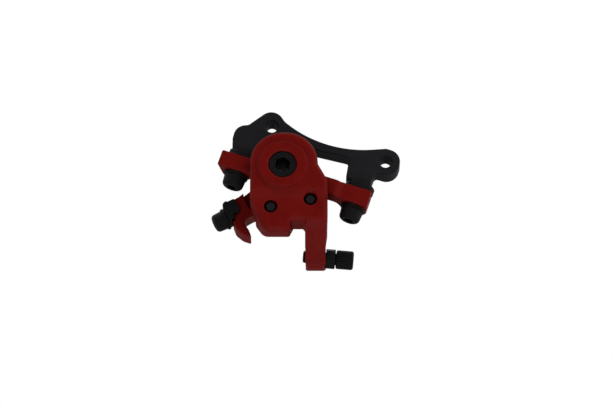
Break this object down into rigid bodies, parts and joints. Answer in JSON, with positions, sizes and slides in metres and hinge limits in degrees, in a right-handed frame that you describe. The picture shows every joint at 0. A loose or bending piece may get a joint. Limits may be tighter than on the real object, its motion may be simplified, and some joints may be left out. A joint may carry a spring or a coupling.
{
  "type": "electric scooter brake caliper",
  "caption": "Cable-pulled disc brake caliper on an arched adapter bracket, with a sprung lever arm, pad adjuster, barrel adjuster and pads that grip a rotor.",
  "frame": {"origin": "midway between the two bracket holes, on the bracket's mounting face", "axes": "+X along the line of the bracket holes, +Y out of the mounting face and along the pad axis away from the rotor side, +Z from the caliper towards the bracket"},
  "size_m": [0.0732, 0.0411, 0.0579],
  "materials": {
    "black_bracket": "satin black coating",
    "red_casting": "satin deep red anodising",
    "black_steel": "black oxide",
    "black_alloy": "satin black anodising",
    "bright_steel": "ground steel",
    "bright_alloy": "turned aluminium",
    "brass_cage": "stamped brass",
    "black_rubber": "moulded rubber",
    "spring_steel": "dark spring wire",
    "friction_lining": "resin-bound friction lining"
  },
  "bodies": {
    "bracket": {"adapter_bracket": "black_bracket", "concave_washers": "black_steel", "convex_washers": "black_steel", "ear_washers": "black_steel", "ear_bolts": "black_steel"},
    "caliper": {"inner_body": "red_casting", "outer_body": "red_casting", "body_screws": "black_steel", "thrust_washer": "bright_steel", "dust_seal": "black_rubber", "return_spring": "spring_steel"},
    "arm": {"brake_arm": "red_casting", "ramp_shaft": "bright_steel", "arm_washer": "black_steel", "arm_bolt": "black_steel", "clamp_plate": "black_steel", "clamp_washer": "black_steel", "clamp_bolt": "black_steel"},
    "cage": {"ball_cage": "brass_cage", "ramp_balls": "bright_steel"},
    "outer_pad": {"piston": "bright_alloy", "outer_pad_plate": "bright_steel", "outer_pad_lining": "friction_lining"},
    "inner_pad": {"inner_pad_plate": "bright_steel", "inner_pad_lining": "friction_lining"},
    "adjuster": {"pad_adjuster": "black_alloy", "adjuster_ring": "black_rubber"},
    "barrel": {"barrel_adjuster": "black_alloy"},
    "nut": {"lock_nut": "black_steel"}
  },
  "joints": [
    {"name": "alignment_slide", "type": "slide", "parent": "bracket", "child": "caliper", "axis": [0, 1, 0], "range_m": [-0.001, 0.001]},
    {"name": "arm_pivot", "type": "hinge", "parent": "caliper", "child": "arm", "pos_m": [-0.0135, 0, -0.0209], "axis": [0, -1, 0], "range_deg": [0, 32], "stiffness_Nm_per_rad": 0.2, "springref_deg": -28.65, "deforming": ["return_spring"]},
    {"name": "outer_pad_slide", "type": "slide", "parent": "caliper", "child": "outer_pad", "axis": [0, -1, 0], "range_m": [0, 0.00125]},
    {"name": "cage_turn", "type": "hinge", "parent": "caliper", "child": "cage", "pos_m": [-0.0135, 0, -0.0209], "axis": [0, -1, 0], "range_deg": [0, 16.5]},
    {"name": "inner_pad_slide", "type": "slide", "parent": "caliper", "child": "inner_pad", "axis": [0, 1, 0], "range_m": [-0.0005, 0.0015]},
    {"name": "adjuster_turn", "type": "hinge", "parent": "inner_pad", "child": "adjuster", "pos_m": [-0.0135, 0, -0.0209], "axis": [0, 1, 0], "range_deg": [-181, 541]},
    {"name": "barrel_travel", "type": "slide", "parent": "caliper", "child": "barrel", "axis": [0.9724, 0, 0.2334], "range_m": [0, 0.006]},
    {"name": "lock_nut_turn", "type": "hinge", "parent": "caliper", "child": "nut", "pos_m": [0.00923, 0.007, -0.04535], "axis": [0.9724, 0, 0.2334], "continuous": true}
  ],
  "couplings": [
    {"joint": "outer_pad_slide", "follows": "arm_pivot", "m_per_rad": 0.00215},
    {"joint": "cage_turn", "follows": "arm_pivot", "ratio": 0.5},
    {"joint": "adjuster_turn", "follows": "inner_pad_slide", "rad_per_m": 6283.2}
  ]
}
